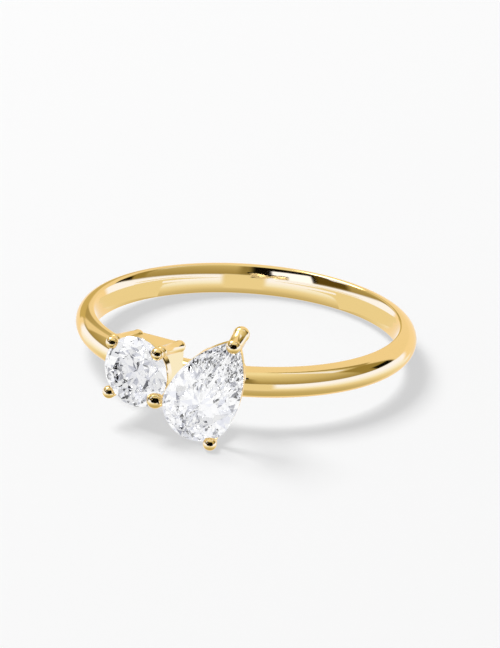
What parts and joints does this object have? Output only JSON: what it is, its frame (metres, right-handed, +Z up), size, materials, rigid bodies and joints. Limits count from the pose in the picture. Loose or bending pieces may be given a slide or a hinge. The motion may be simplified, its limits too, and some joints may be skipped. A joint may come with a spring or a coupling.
{
  "type": "toi et moi ring",
  "caption": "Slim half-round gold ring with a round brilliant and a leaning pear brilliant side by side in open claw settings.",
  "frame": {"origin": "centre of the bounding box at its base, on the surface that the ring lies on", "axes": "+Z up, which is the finger's axis within about 5 degrees, as the ring rests on its claw and rim; -Y towards the stones; +X towards the pear stone's side"},
  "size_m": [0.0192, 0.0225, 0.007],
  "materials": {
    "gold": "polished",
    "diamond": "faceted"
  },
  "bodies": {
    "root": {"band_and_settings": "gold", "round_stone": "diamond", "pear_stone": "diamond"}
  },
  "joints": []
}
